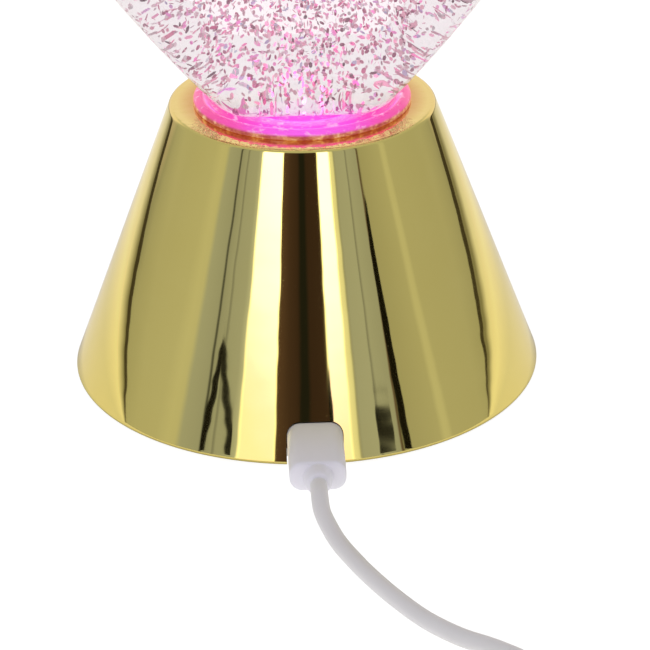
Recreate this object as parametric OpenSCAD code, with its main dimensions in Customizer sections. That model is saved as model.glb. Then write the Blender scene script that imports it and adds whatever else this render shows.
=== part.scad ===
// Glitter heart lamp: a plated cone base with a USB lead carries a clear heart full of
// liquid and glitter, which a magnet drive stirs and a ring of LEDs lights from below.
// Millimetres, +Z up, origin on the table under the base's centre, USB port towards -Y.

/* [Base] */
// Diameter at the foot, to the sharp corner
base_d = 99; // [94:0.4:108]
// Diameter of the deck, to the sharp corner
deck_d = 54.6; // [54:0.2:60]
// Height of the deck above the table
base_h = 59.2; // [56:0.4:66]
// Wall of the plated cone
base_wall = 2.2; // [1.8:0.1:2.6]
// Height of the foot rim above the table
foot_gap = 0.6; // [0.5:0.1:0.8]
// Rounding of the foot rim
foot_edge_r = 0.6; // [0.5:0.1:1.4]
// Rounding of the deck edge
deck_edge_r = 0.9; // [0.6:0.1:2]
// Thickness of the base plate
plate_t = 1.8; // [1.6:0.1:2]
// Distance of a base screw from the foot's edge
screw_inset = 13.4; // [12.4:0.2:15.4]
// Diameter of a rubber foot
foot_d = 9; // [7:0.5:10]
// Distance of a foot's middle from the foot's edge
foot_inset = 10.4; // [10:0.1:12]

/* [Heart] */
// Width across the lobes
heart_w = 138; // [132:1:146]
// Depth from face to face
heart_depth = 62; // [56:1:66]
// Wall of the heart
heart_wall = 2.5; // [2:0.1:3]
// Angle of the flanks from the vertical
flank_angle = 34.6; // [33:0.2:37]
// Width between the flanks at deck height
root_w = 32.2; // [31:0.2:34]
// Rounding between flank and bottom
corner_r = 10.5; // [9:0.5:12]
// Radius of the flanks' slight bow
flank_r = 280; // [240:10:400]
// Radius of a lobe
lobe_r = 35; // [33:0.5:37]
// Rounding at the bottom of the cleft
cleft_r = 4; // [2:0.5:6]
// Squareness of the heart's section, 2 is an ellipse
bulge = 3.2; // [2.8:0.1:3.4]

/* [Collar and neck] */
// Diameter of the lit collar on the deck
collar_d = 44.8; // [43:0.2:46]
// Width of the round bead on the collar's rim
bead_w = 2.6; // [2:0.1:2.8]
// Outer diameter of the heart's neck
neck_d = 30; // [29:0.5:31]
// Wall of the neck
neck_wall = 2.5; // [2:0.1:2.8]
// Depth of the neck's lower end under the deck
neck_drop = 13; // [12.6:0.2:14]
// Thickness of the neck nut
nut_h = 5; // [4:0.2:6]

/* [Stirrer and motor] */
// Diameter of the stirrer
stirrer_d = 21.2; // [18:0.2:22]
// Diameter of the stirrer's pin
pin_d = 3; // [2.4:0.2:3.6]
// Number of stirrer blades
blades = 4; // [3:1:6]
// Diameter of a drive magnet
magnet_d = 6; // [5:0.5:6.5]
// Height of a drive magnet
magnet_h = 2.2; // [1.6:0.1:2.2]
// Diameter of the motor
motor_d = 24.4; // [22:0.2:26]
// Length of the motor
motor_h = 12.3; // [10:0.1:16]
// Diameter of the motor's shaft
shaft_d = 2; // [1.6:0.1:2.4]

/* [Lights] */
// Outer diameter of the LED board
led_board_d = 40; // [38:1:44]
// Number of LEDs
led_count = 6; // [3:3:9]
// Side of one LED
led_w = 5; // [3.5:0.5:5]

/* [Switch] */
// Travel of the switch's slider
switch_travel = 4; // [3:0.5:4.5]
// Distance of the switch from the centre
switch_y = 27; // [26.5:0.5:28]

/* [USB lead] */
// Width of the lamp's plug
plug_w = 11.1; // [10.4:0.1:11.8]
// Height of the lamp's plug
plug_h = 6.4; // [6:0.1:6.6]
// Length of the lamp's plug
plug_len = 16.5; // [14:0.5:18]
// Corner radius of the lamp's plug
plug_corner_r = 2.6; // [2:0.1:2.8]
// Height of the plug's middle above the table
plug_z = 5.5; // [5.2:0.1:5.8]
// Diameter of the cord
cord_d = 3.4; // [3:0.1:3.6]
// Turns in the put-away coil
coil_turns = 7.25; // [5.25:1:7.25]
// Radius of the coil's outer turn
coil_r = 26; // [25:0.5:30]

/* [Hidden] */
$fn = 64;

// Clearances
fit_gap = 0.2;         // between a cover and the shell around it
run_gap = 0.06;        // between a turning bore and its pin
slip_gap = 0.05;       // between a screw or magnet and its hole
soft_gap = 0.3;        // between the liquid and its wall
port_gap = 0.25;       // between the plug and the port's edge
turn_gap = 0.5;        // between turns of the coil

// Base levels and slope
rim_r = base_d / 2;
deck_r = deck_d / 2;
slope = (rim_r - deck_r) / (base_h - foot_gap);
side_angle = atan(slope);
deck_under = base_h - base_wall;
plate_top = foot_gap + plate_t;
function cone_r(z) = rim_r - (z - foot_gap) * slope;
function cone_in_r(z) = cone_r(z) - base_wall / cos(side_angle);
plate_r = cone_in_r(plate_top) - fit_gap;
screw_orbit = rim_r - screw_inset;
foot_orbit = rim_r - foot_inset;
cup_h = 3.2;           // height of a screw cup above the plate
boss_z = plate_top + cup_h;
boss_h = 26;
boss_r = 3.7;
cup_r = 4.6;
screw_d = 3;
screw_head_r = 3;
screw_head_h = 2;
screw_seat = 1.6;      // plastic left under a screw head
foot_sink = 0.9;       // depth of a foot's recess
rim_h = 3.2;           // height of the plate's locating rim
rim_w = 1.6;
rim_inset = 1.7;       // from the plate's edge to the rim

// Collar and neck
neck_r = neck_d / 2;
neck_bore_r = neck_r - neck_wall;
neck_bottom = base_h - neck_drop;
neck_top = base_h + 5.6;
shoulder_r = neck_r + 2;
heart_z = base_h + 0.3;            // lowest point of the heart
shoulder_z = base_h - 0.6;
collar_r = collar_d / 2;
deck_hole_r = collar_r - 2.2;
collar_lip = 0.6;                  // upright edge of the collar under its bead
nut_flange_r = deck_hole_r + 3.6;
nut_flange_h = 2;
nut_hub_r = neck_r + 3.4;

// Heart outline: bottom, corner, flank, lobe and cleft of the right half
lobe_x = heart_w / 2 - lobe_r;
flank_x = root_w / 2 + (heart_z - base_h) * tan(flank_angle);
corner_x = flank_x - corner_r * (1 - sin(flank_angle)) / cos(flank_angle);
lobe_z = heart_z + ((lobe_x - flank_x) * cos(flank_angle) + lobe_r) / sin(flank_angle);
cleft_spread = 0.89;               // least lean of the cleft's sides, where lobes are set wide
cleft_fit_r = max(cleft_r, lobe_x / cleft_spread - lobe_r);
cleft_z = lobe_z + sqrt(pow(lobe_r + cleft_fit_r, 2) - lobe_x * lobe_x);
cleft_turn = atan2(cleft_z - lobe_z, -lobe_x);
heart_mid = [0, heart_z + 0.46 * (lobe_z + lobe_r - heart_z)];
pole_r = lobe_r * 1.4;             // roundness of the faces near their middle
heart_rings = 10;
function arc(c, r, a0, a1, n) = [for (i = [0:n]) let (a = a0 + (a1 - a0) * i / n) c + r * [cos(a), sin(a)]];
corner_c = [corner_x, heart_z + corner_r];
lobe_c = [lobe_x, lobe_z];
flank_span = norm(lobe_c - corner_c);
flank_way = (lobe_c - corner_c) / flank_span;
flank_run = (pow(flank_r - corner_r, 2) - pow(flank_r - lobe_r, 2)) / (2 * flank_span) + flank_span / 2;
flank_back = sqrt(pow(flank_r - corner_r, 2) - flank_run * flank_run);
flank_c = corner_c + flank_run * flank_way + flank_back * [-flank_way.y, flank_way.x];
flank_low = atan2(corner_c.y - flank_c.y, corner_c.x - flank_c.x);
flank_high = atan2(lobe_c.y - flank_c.y, lobe_c.x - flank_c.x);
corner_arc = arc(corner_c, corner_r, -90, flank_low, 5);
flank_arc = arc(flank_c, flank_r, flank_low, flank_high, 4);
lobe_arc = arc(lobe_c, lobe_r, flank_high, cleft_turn, 18);
cleft_arc = arc([0, cleft_z], cleft_fit_r, cleft_turn - 180, -90, 4);
half_outline = concat(corner_arc, [for (i = [1:3]) flank_arc[i]], lobe_arc,
    [for (i = [1:3]) cleft_arc[i]]);
// The neck's shoulder ends just under the heart, which rises past its flat bottom
shoulder_top = heart_z + corner_r - sqrt(pow(corner_r, 2) - pow(max(0, neck_r - corner_x), 2)) - 0.3;
half_n = len(half_outline);
outline = concat([[0, heart_z]], half_outline, [[0, cleft_z - cleft_fit_r]],
    [for (i = [half_n - 1:-1:0]) [-half_outline[i].x, half_outline[i].y]]);
outline_n = len(outline);

// Plug of the neck, stirrer and drive
flange_h = 2.2;
plug_bottom = neck_bottom - flange_h;
plug_floor = neck_bottom + 1.4;
plug_top = plug_floor + 2;
recess_r = stirrer_d / 2 - 0.4;
pin_r = pin_d / 2;
pin_top = base_h - 0.6;
stirrer_z = plug_top + 0.5;
stirrer_plate_h = 2.6;
hub_r = pin_r + 1.6;
clip_h = 1;
blade_top = pin_top - clip_h - 0.8;
blade_t = 1.4;
magnet_r = magnet_d / 2;
magnet_orbit = stirrer_d / 2 - magnet_r - 1.2;
drive_top = plug_floor - 0.8;
drive_h = 3.6;
drive_r = recess_r - 0.6;
shaft_r = shaft_d / 2;
oring_r = 0.9;
oring_z = neck_bottom + 1.7;

// Motor, tower and LED board
led_z = plug_bottom - 6.9;
led_board_r = led_board_d / 2;
board_t = 1.6;
led_orbit = neck_r - 1.1;
led_h = 1.6;
led_hole_r = drive_r + 0.8;
post_h = 1.5;
tower_top = led_z - post_h;
tower_plate = 2;
tower_plate_r = led_board_r - 2.2;
led_screw_orbit = tower_plate_r - 3.2;
motor_r = motor_d / 2;
motor_top = tower_top - tower_plate;
motor_bottom = motor_top - motor_h;
motor_boss_r = 3;
motor_screw_x = 8;
tower_in_r = motor_r + soft_gap;
tower_wall = 1.8;
tower_post_h = 5;
tower_z = plate_top + tower_post_h;
tower_foot_r = tower_in_r + tower_wall + 7.2;
tower_screw_orbit = tower_foot_r - 3.3;
small_d = 2;           // small screws
small_head_r = 1.8;
small_head_h = 1.2;

// USB socket, plug and board
plug_face = -(cone_in_r(plug_z) + 0.75);
plug_end = plug_face - plug_len;
shell_w = 8.3;
shell_h = 2.4;
shell_t = 0.3;
shell_len = 6.6;
socket_w = shell_w + 0.7;
socket_h = shell_h + 0.8;
socket_t = 0.25;
socket_face = plug_face + 0.8;
socket_len = 7.8;
tongue_w = 6.7;
tongue_t = 0.7;
usb_board_w = 20;
usb_board_len = 10;
usb_board_t = 1.2;
usb_board_z = plug_z + socket_h / 2;
usb_board_y = socket_face + 2.7;
usb_screw_x = 7.4;
usb_screw_y = usb_board_y + 6.2;
usb_wire_y = usb_board_y + 8.4;
usb_wire_z = usb_board_z + usb_board_t + 2 * slip_gap;
rim_cut_w = usb_board_w + 3;
boot_len = 3.1;
boot_r0 = 2.9;
boot_r1 = 2.55;

// Switch
switch_w = 12.8;
switch_d = 5.2;
switch_h = 5;
switch_flange_w = 19.6;
switch_flange_t = 0.5;
switch_screw_x = 8;
knob_w = 3.6;
knob_d = 3.2;
knob_low = 0.25;       // height of the knob's tip above the table
dish_w = 14;
dish_d = 9;
dish_depth = 0.8;
slot_w = knob_w + switch_travel + 0.4;
slot_d = knob_d + 0.6;

// Cord: a free stretch, a coil of piled turns and a short tail to the far plug
cord_r = cord_d / 2;
coil_mid = [16, -160];
coil_lift = 0.7;       // room for the tie under the coil
coil_low = cord_r + coil_lift;
coil_pitch = cord_d + turn_gap;
coil_high = coil_low + coil_pitch;
lead_start = [0, plug_end - boot_len - slip_gap, plug_z];
lead_end = [coil_mid.x + coil_r, coil_mid.y + cord_d, coil_low];
lead_route = [lead_start, lead_start - [0, cord_d, 0], [0.3, -73.2, cord_r + 2.4],
    [1.5, -77.3, cord_r + 1.2], [3.1, -81.6, cord_r + 0.3], [5.2, -86.5, cord_r],
    [8.2, -93.2, cord_r], [12.4, -101.1, cord_r], [17.6, -109.1, cord_r], [23.3, -115, cord_r],
    [29, -119, cord_r], [34.8, -124.8, cord_r + 0.1], [39, -134, cord_r + 0.3],
    [41.4, -145, cord_r + 0.6], lead_end + [0, cord_d, 0], lead_end];
tail_start = [coil_mid.x - cord_d, coil_mid.y - coil_r, coil_high];
tail_end = [-4, coil_mid.y - coil_r, 3.9];
tail_route = [tail_start, tail_start - [cord_d, 0, 0.1], [4.5, tail_end.y, 5.2], [1.5, tail_end.y, 4.3],
    tail_end + [cord_d, 0, 0], tail_end];
a_boot_len = 4;
a_plug_w = 15.6;
a_plug_h = 7.8;
a_plug_len = 21;
a_plug_corner_r = 2.4;
a_plug_x = tail_end.x - a_boot_len;
a_shell_w = 12;
a_shell_h = 4.5;
a_shell_len = 12;
a_tongue_w = 11.2;
a_tongue_t = 1.9;
tie_w = 6;
tie_t = 0.5;
wire_r = 0.65;
wire_z = plate_top + 9;            // level of the wires over the plate
wire_turn = tower_foot_r + 5.7;    // path of the switch's wires round the tower
function wire_round(a, up) = [wire_turn * cos(a), wire_turn * sin(a), wire_z + up];

// Points of a smooth run through a route, and of the coil
function between(a, b, c, d, t) = 0.5 * (2 * b + (c - a) * t + (2 * a - 5 * b + 4 * c - d) * t * t
    + (3 * b - a - 3 * c + d) * t * t * t);
function smooth(p, n) = concat([p[0]], [for (i = [0:len(p) - 2], k = [1:n])
    between(p[max(i - 1, 0)], p[i], p[i + 1], p[min(i + 2, len(p) - 1)], k / n)]);
function ease(t) = let (u = min(1, max(0, t))) u * u * (3 - 2 * u);
function coil_at(u) = let (a = -360 * u, r = coil_r - coil_pitch * min(u, coil_turns - u))
    [coil_mid.x + r * cos(a), coil_mid.y + r * sin(a),
    coil_low + coil_pitch * ease((u - coil_turns / 2) * 2 + 0.5)];
coil_steps = coil_turns * 24;
coil_turning = [for (i = [0:coil_steps]) coil_at(i / 24)];
coil_points = concat([lead_end], coil_turning, [tail_start]);
coil_gap = min([for (i = [0:coil_steps - 12], j = [i + 12:coil_steps])
    norm(coil_turning[i] - coil_turning[j])]) - cord_d;
function run_length(p) = sum([for (i = [1:len(p) - 1]) norm(p[i] - p[i - 1])]);
function sum(v, i = 0) = i < len(v) ? v[i] + sum(v, i + 1) : 0;
lead_points = smooth(lead_route, 2);
tail_points = smooth(tail_route, 2);

// Shared shapes
module ring(r0, r1, z0, z1) {
    translate([0, 0, z0])
        difference() {
            cylinder(r = r1, h = z1 - z0);
            translate([0, 0, -1])
                cylinder(r = r0, h = z1 - z0 + 2);
        }
}
module rod(r, z0, z1) {
    translate([0, 0, z0])
        cylinder(r = r, h = z1 - z0);
}
module block(x0, x1, y0, y1, z0, z1) {
    translate([x0, y0, z0])
        cube([x1 - x0, y1 - y0, z1 - z0]);
}
module round_rect(w, h, r) {
    square([w - 2 * r, h], center = true);
    square([w, h - 2 * r], center = true);
    for (x = [-1, 1], y = [-1, 1])
        translate([x * (w / 2 - r), y * (h / 2 - r)])
            circle(r = r);
}
module along_y(y0, y1, z) {
    translate([0, y1, z])
        rotate([90, 0, 0])
            linear_extrude(y1 - y0)
                children();
}
module along_x(x0, x1, y, z) {
    translate([x0, y, z])
        rotate([90, 0, 90])
            linear_extrude(x1 - x0)
                children();
}
module screw(d, head_r, head_h, len) {
    difference() {
        union() {
            cylinder(r = d / 2, h = len);
            translate([0, 0, -head_h])
                cylinder(r = head_r, h = head_h);
        }
        for (a = [0, 90])
            rotate([0, 0, a])
                translate([-head_r * 0.6, -head_r * 0.11, -head_h - 1])
                    cube([head_r * 1.2, head_r * 0.22, head_h * 0.5 + 1]);
    }
}
module tube(p, r, sides, up) {
    n = len(p);
    t = [for (i = [0:n - 1]) let (d = p[min(i + 1, n - 1)] - p[max(i - 1, 0)]) d / norm(d)];
    pts = [for (i = [0:n - 1])
        let (c = cross(t[i], up), s = c / norm(c), m = cross(s, t[i]))
        for (j = [0:sides - 1])
            p[i] + r * (cos(360 * j / sides) * s + sin(360 * j / sides) * m)];
    walls = [for (i = [0:n - 2], j = [0:sides - 1])
        let (k = (j + 1) % sides, a = i * sides + j, b = i * sides + k, c = b + sides, d = a + sides)
        each [[a, b, c], [a, c, d]]];
    caps = [for (j = [1:sides - 2]) each [[0, j + 1, j],
        [(n - 1) * sides, (n - 1) * sides + j, (n - 1) * sides + j + 1]]];
    polyhedron(points = pts, faces = concat(walls, caps), convexity = 10);
}

// Heart: rings of the outline shrink towards the middle of each face as they leave the seam
function face_in(k) = pow(cos(90 * k / heart_rings), 2 / bulge);
function face_out(k) = pow(sin(90 * k / heart_rings), 2 / bulge);
function heart_ring(k, inset, side) = let (s = face_in(k), y = side * (heart_depth / 2 - inset) * face_out(k))
    [for (q = outline) let (d = q - heart_mid, m = norm(d),
        g = heart_mid + d / m * s * ((m - inset) * s + pole_r * (1 - s))) [g.x, y, g.y]];
module heart_half() {
    n = outline_n;
    m = heart_rings;
    outer = concat([for (k = [0:m - 1]) each heart_ring(k, 0, -1)],
        [[0, -heart_depth / 2, heart_mid.y]]);
    inner = concat([for (k = [0:m - 1]) each heart_ring(k, heart_wall, -1)],
        [[0, heart_wall - heart_depth / 2, heart_mid.y]]);
    o = len(outer);
    skin = [for (k = [0:m - 2], i = [0:n - 1])
        let (j = (i + 1) % n, a = k * n + i, b = k * n + j, c = b + n, d = a + n)
        each [[a, d, c], [a, c, b], [o + a, o + c, o + d], [o + a, o + b, o + c]]];
    poles = [for (i = [0:n - 1]) let (j = (i + 1) % n, a = (m - 1) * n + i, b = (m - 1) * n + j)
        each [[a, m * n, b], [o + a, o + b, o + m * n]]];
    seam = [for (i = [0:n - 1]) let (j = (i + 1) % n) each [[i, j, o + j], [i, o + j, o + i]]];
    difference() {
        polyhedron(points = concat(outer, inner), faces = concat(skin, poles, seam), convexity = 10);
        rod(neck_r + slip_gap, heart_z - 5, neck_top + 4);
    }
}

// Base
module base_cone() {
    deck_c = [deck_r - deck_edge_r * (1 - sin(side_angle)) / cos(side_angle), base_h - deck_edge_r];
    foot_c = [rim_r - foot_edge_r * (1 + sin(side_angle)) / cos(side_angle), foot_gap + foot_edge_r];
    profile = concat(arc(foot_c, foot_edge_r, -90, side_angle, 6),
        arc(deck_c, deck_edge_r, side_angle, 90, 6),
        [[deck_hole_r, base_h], [deck_hole_r, deck_under], [cone_in_r(deck_under), deck_under],
        [cone_in_r(foot_gap), foot_gap]]);
    color([0.86, 0.66, 0.26])
        difference() {
            union() {
                rotate_extrude()
                    polygon(profile);
                intersection() {
                    for (a = [45:90:315])
                        rotate([0, 0, a])
                            translate([screw_orbit, 0, 0])
                                rod(boss_r, boss_z, boss_z + boss_h);
                    translate([0, 0, foot_gap])
                        cylinder(r1 = cone_r(foot_gap) - base_wall / 2, r2 = cone_r(base_h) - base_wall / 2,
                            h = base_h - foot_gap);
                }
            }
            for (a = [45:90:315])
                rotate([0, 0, a])
                    translate([screw_orbit, 0, 0])
                        rod(screw_d / 2 + slip_gap, boss_z - 1, boss_z + 12);
            along_y(-base_d, plug_face + 6, plug_z) {
                round_rect(plug_w + 2 * port_gap, plug_h + 2 * port_gap, plug_corner_r + port_gap);
                translate([-plug_w / 2 - port_gap, -plug_z - 1])
                    square([plug_w + 2 * port_gap, plug_z + 1]);
            }
        }
}
module base_plate() {
    color([0.92, 0.91, 0.88])
        difference() {
            union() {
                rod(plate_r, foot_gap, plate_top);
                difference() {
                    ring(plate_r - rim_inset - rim_w, plate_r - rim_inset, plate_top, plate_top + rim_h);
                    block(-rim_cut_w / 2, rim_cut_w / 2, -base_d, usb_wire_y, 0, base_h);
                }
                for (a = [45:90:315])
                    rotate([0, 0, a])
                        translate([screw_orbit, 0, 0])
                            rod(cup_r, foot_gap, boss_z);
                for (a = [90:120:330])
                    rotate([0, 0, a])
                        translate([tower_screw_orbit, 0, 0])
                            rod(2.6, foot_gap, tower_z);
                for (x = [-1, 1])
                    translate([x * usb_screw_x, usb_screw_y, 0])
                        rod(2.2, foot_gap, usb_board_z);
            }
            for (a = [45:90:315])
                rotate([0, 0, a])
                    translate([screw_orbit, 0, 0]) {
                        rod(screw_d / 2 + fit_gap, 0, boss_z + 1);
                        rod(screw_head_r + fit_gap, 0, boss_z - screw_seat);
                    }
            for (a = [0:90:270])
                rotate([0, 0, a])
                    translate([foot_orbit, 0, 0])
                        rod(foot_d / 2 + slip_gap, 0, foot_gap + foot_sink);
            for (a = [90:120:330])
                rotate([0, 0, a])
                    translate([tower_screw_orbit, 0, 0])
                        rod(small_d / 2 + slip_gap, tower_z - 4.5, tower_z + 1);
            for (x = [-1, 1])
                translate([x * usb_screw_x, usb_screw_y, 0])
                    rod(small_d / 2 + slip_gap, foot_gap + 0.8, usb_board_z + 1);
            for (x = [-1, 1])
                translate([x * switch_screw_x, switch_y, 0])
                    rod(small_d / 2 + slip_gap, foot_gap + 0.6, plate_top + 1);
            block(-slot_w / 2, slot_w / 2, switch_y - slot_d / 2, switch_y + slot_d / 2, 0, plate_top + 1);
            block(-dish_w / 2, dish_w / 2, switch_y - dish_d / 2, switch_y + dish_d / 2, 0,
                foot_gap + dish_depth);
            block(-plug_w / 2 - 0.8, plug_w / 2 + 0.8, -base_d, plug_face + 0.9, 0, base_h);
        }
}
module base_screws() {
    color([0.62, 0.63, 0.64])
        for (a = [45:90:315])
            rotate([0, 0, a])
                translate([screw_orbit, 0, boss_z - screw_seat])
                    screw(screw_d, screw_head_r, screw_head_h, screw_seat + 9);
}
module rubber_feet() {
    color([0.16, 0.16, 0.17])
        for (a = [0:90:270])
            rotate([0, 0, a])
                translate([foot_orbit, 0, 0])
                    rod(foot_d / 2, 0, foot_gap + foot_sink);
}

// Vessel
module light_collar() {
    bead_r = bead_w / 2;
    bead_c = [collar_r - bead_r, base_h + collar_lip];
    color([0.98, 0.36, 0.78])
        rotate_extrude()
            polygon(concat([[neck_r + fit_gap, deck_under], [deck_hole_r - fit_gap, deck_under],
                [deck_hole_r - fit_gap, base_h], [collar_r, base_h]],
                arc(bead_c, bead_r, 0, 150, 8),
                arc([collar_r - bead_w - 2.2, base_h + 2.6], 2.6, -45, -90, 4),
                [[shoulder_r + fit_gap, base_h], [shoulder_r + fit_gap, shoulder_z],
                [neck_r + fit_gap, shoulder_z]]));
}
module heart_front() {
    color([0.95, 0.93, 0.95, 0.3])
        heart_half();
}
module heart_rear() {
    color([0.95, 0.93, 0.95, 0.3])
        mirror([0, 1, 0])
            heart_half();
}
module glitter_liquid() {
    n = outline_n;
    m = heart_rings;
    gap = heart_wall + soft_gap;
    pts = concat([for (k = [1 - m:m - 1]) each heart_ring(abs(k), gap, k < 0 ? -1 : 1)],
        [[0, gap - heart_depth / 2, heart_mid.y], [0, heart_depth / 2 - gap, heart_mid.y]]);
    top = (2 * m - 1) * n;
    skin = [for (k = [0:2 * m - 3], i = [0:n - 1])
        let (j = (i + 1) % n, a = k * n + i, b = k * n + j) each [[a, b, b + n], [a, b + n, a + n]]];
    poles = [for (i = [0:n - 1]) let (j = (i + 1) % n)
        each [[i, top, j], [top - n + i, top - n + j, top + 1]]];
    color([0.85, 0.55, 0.68, 0.35])
        difference() {
            polyhedron(points = pts, faces = concat(skin, poles), convexity = 10);
            rod(neck_r + soft_gap, heart_z - 5, neck_top + 0.5);
        }
}
module vessel_neck() {
    color([0.95, 0.93, 0.95, 0.4]) {
        difference() {
            union() {
                rod(neck_r, neck_bottom, neck_top);
                rod(shoulder_r, shoulder_z, shoulder_top);
            }
            rod(neck_bore_r, neck_bottom - 1, neck_top + 1);
        }
    }
}
module neck_nut() {
    color([0.95, 0.95, 0.95, 0.6])
        difference() {
            union() {
                rod(nut_flange_r, deck_under - nut_flange_h, deck_under);
                rod(nut_hub_r, deck_under - nut_h, deck_under - nut_flange_h / 2);
                for (a = [0:45:315])
                    rotate([0, 0, a])
                        block(nut_hub_r - 1, nut_hub_r + 1.6, -1.2, 1.2, deck_under - nut_h,
                            deck_under - nut_flange_h / 2);
            }
            rod(neck_r + slip_gap, deck_under - nut_h - 1, deck_under + 1);
        }
}
module vessel_plug() {
    spigot_r = neck_bore_r - slip_gap;
    color([0.95, 0.93, 0.95, 0.5])
        difference() {
            union() {
                rod(neck_r, plug_bottom, neck_bottom);
                rod(spigot_r, plug_bottom, plug_top);
                rod(hub_r - 0.4, plug_top - 0.5, plug_top + 0.4);
                rod(pin_r, plug_top - 0.5, pin_top);
            }
            rod(recess_r, plug_bottom - 1, plug_floor);
            ring(spigot_r - 2 * oring_r + slip_gap, spigot_r + 1, oring_z - oring_r - slip_gap,
                oring_z + oring_r + slip_gap);
        }
}
module plug_seal() {
    color([0.12, 0.12, 0.13])
        translate([0, 0, oring_z])
            rotate_extrude()
                translate([neck_bore_r - oring_r - 0.02, 0])
                    circle(r = oring_r - 0.02, $fn = 24);
}

// Stirrer and its drive
module stirrer() {
    color([0.93, 0.93, 0.95])
        difference() {
            union() {
                rod(stirrer_d / 2, stirrer_z, stirrer_z + stirrer_plate_h);
                rod(hub_r, stirrer_z, blade_top);
                for (i = [0:blades - 1])
                    rotate([0, 0, 45 + 360 * i / blades])
                        block(0, stirrer_d / 2 - 0.4, -blade_t / 2, blade_t / 2, stirrer_z + 1, blade_top);
            }
            rod(pin_r + run_gap, stirrer_z - 1, blade_top + 1);
            for (x = [-1, 1])
                translate([x * magnet_orbit, 0, 0])
                    rod(magnet_r + slip_gap, stirrer_z - 1, stirrer_z + magnet_h);
        }
}
module stirrer_magnets() {
    color([0.7, 0.71, 0.72])
        for (x = [-1, 1])
            translate([x * magnet_orbit, 0, 0])
                rod(magnet_r, stirrer_z, stirrer_z + magnet_h);
}
module stirrer_clip() {
    color([0.8, 0.8, 0.82])
        ring(pin_r + 0.01, hub_r - 0.3, pin_top - clip_h - 0.4, pin_top - 0.4);
}
module drive_disc() {
    color([0.2, 0.2, 0.22])
        difference() {
            union() {
                rod(drive_r, drive_top - drive_h, drive_top);
                rod(3, drive_top - drive_h - 2.6, drive_top);
            }
            rod(shaft_r + 0.01, drive_top - drive_h - 4, drive_top - 0.6);
            for (x = [-1, 1])
                translate([x * magnet_orbit, 0, 0])
                    rod(magnet_r + slip_gap, drive_top - magnet_h, drive_top + 1);
        }
}
module drive_magnets() {
    color([0.7, 0.71, 0.72])
        for (x = [-1, 1])
            translate([x * magnet_orbit, 0, 0])
                rod(magnet_r, drive_top - magnet_h, drive_top);
}
module motor_shaft() {
    color([0.75, 0.75, 0.77])
        rod(shaft_r, motor_bottom + 2, drive_top - 0.8);
}
module motor_can() {
    color([0.72, 0.72, 0.72])
        difference() {
            union() {
                rod(motor_r, motor_bottom, motor_top);
                rod(motor_boss_r, motor_top - 0.5, motor_top + 1.5);
                for (y = [-1, 1])
                    block(4, 6, y * 3 - 0.3, y * 3 + 0.3, motor_bottom - 2, motor_bottom + 0.5);
            }
            rod(shaft_r + run_gap, motor_bottom + 1.9, motor_top + 3);
            for (x = [-1, 1])
                translate([x * motor_screw_x, 0, 0])
                    rod(small_d / 2 + slip_gap, motor_top - 3, motor_top + 1);
        }
}
module motor_screws() {
    color([0.62, 0.63, 0.64])
        for (x = [-1, 1])
            translate([x * motor_screw_x, 0, tower_top])
                mirror([0, 0, 1])
                    screw(small_d, small_head_r, small_head_h, tower_plate + 2.5);
}
module motor_tower() {
    color([0.92, 0.91, 0.88])
        difference() {
            union() {
                rod(tower_plate_r, motor_top, tower_top);
                rod(tower_in_r + tower_wall, tower_z, tower_top - 0.4);
                rod(tower_foot_r, tower_z, tower_z + 2);
                for (a = [30:120:270])
                    rotate([0, 0, a])
                        translate([led_screw_orbit, 0, 0])
                            rod(2.2, tower_top - 0.8, led_z);
            }
            rod(tower_in_r, tower_z - 1, motor_top);
            rod(motor_boss_r + fit_gap, motor_top - 1, tower_top + 1);
            for (x = [-1, 1])
                translate([x * motor_screw_x, 0, 0])
                    rod(small_d / 2 + fit_gap, motor_top - 1, tower_top + 1);
            for (a = [30:120:270])
                rotate([0, 0, a])
                    translate([led_screw_orbit, 0, 0])
                        rod(small_d / 2 + slip_gap, led_z - 3, led_z + 1);
            for (a = [90:120:330])
                rotate([0, 0, a])
                    translate([tower_screw_orbit, 0, 0])
                        rod(small_d / 2 + fit_gap, tower_z - 1, tower_z + 3);
            block(-6, 6, -tower_in_r - tower_wall - 1, -tower_in_r + 4, tower_z + 3, tower_z + 12);
            block(-6, 6, tower_in_r - 4, tower_in_r + tower_wall + 1, tower_z + 3, tower_z + 12);
        }
}
module tower_screws() {
    color([0.62, 0.63, 0.64])
        for (a = [90:120:330])
            rotate([0, 0, a])
                translate([tower_screw_orbit, 0, tower_z + 2])
                    mirror([0, 0, 1])
                        screw(small_d, small_head_r, small_head_h, 6);
}

// Lights, boards and switch
module led_board() {
    color([0.9, 0.92, 0.9])
        difference() {
            ring(led_hole_r, led_board_r, led_z, led_z + board_t);
            for (a = [30:120:270])
                rotate([0, 0, a])
                    translate([led_screw_orbit, 0, 0])
                        rod(small_d / 2 + fit_gap, led_z - 1, led_z + board_t + 1);
        }
}
module leds() {
    color([1, 0.95, 0.9])
        for (i = [0:led_count - 1])
            rotate([0, 0, 360 * i / led_count])
                translate([led_orbit, 0, led_z + board_t])
                    difference() {
                        block(-led_w / 2, led_w / 2, -led_w / 2, led_w / 2, 0, led_h);
                        rod(led_w * 0.36, led_h - 0.5, led_h + 1);
                    }
}
module led_screws() {
    color([0.62, 0.63, 0.64])
        for (a = [30:120:270])
            rotate([0, 0, a])
                translate([led_screw_orbit, 0, led_z + board_t])
                    mirror([0, 0, 1])
                        screw(small_d, small_head_r, small_head_h, board_t + 2.5);
}
module usb_board() {
    color([0.1, 0.42, 0.24])
        difference() {
            block(-usb_board_w / 2, usb_board_w / 2, usb_board_y, usb_board_y + usb_board_len,
                usb_board_z, usb_board_z + usb_board_t);
            for (x = [-1, 1])
                translate([x * usb_screw_x, usb_screw_y, 0])
                    rod(small_d / 2 + fit_gap, usb_board_z - 1, usb_board_z + usb_board_t + 1);
        }
}
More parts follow.
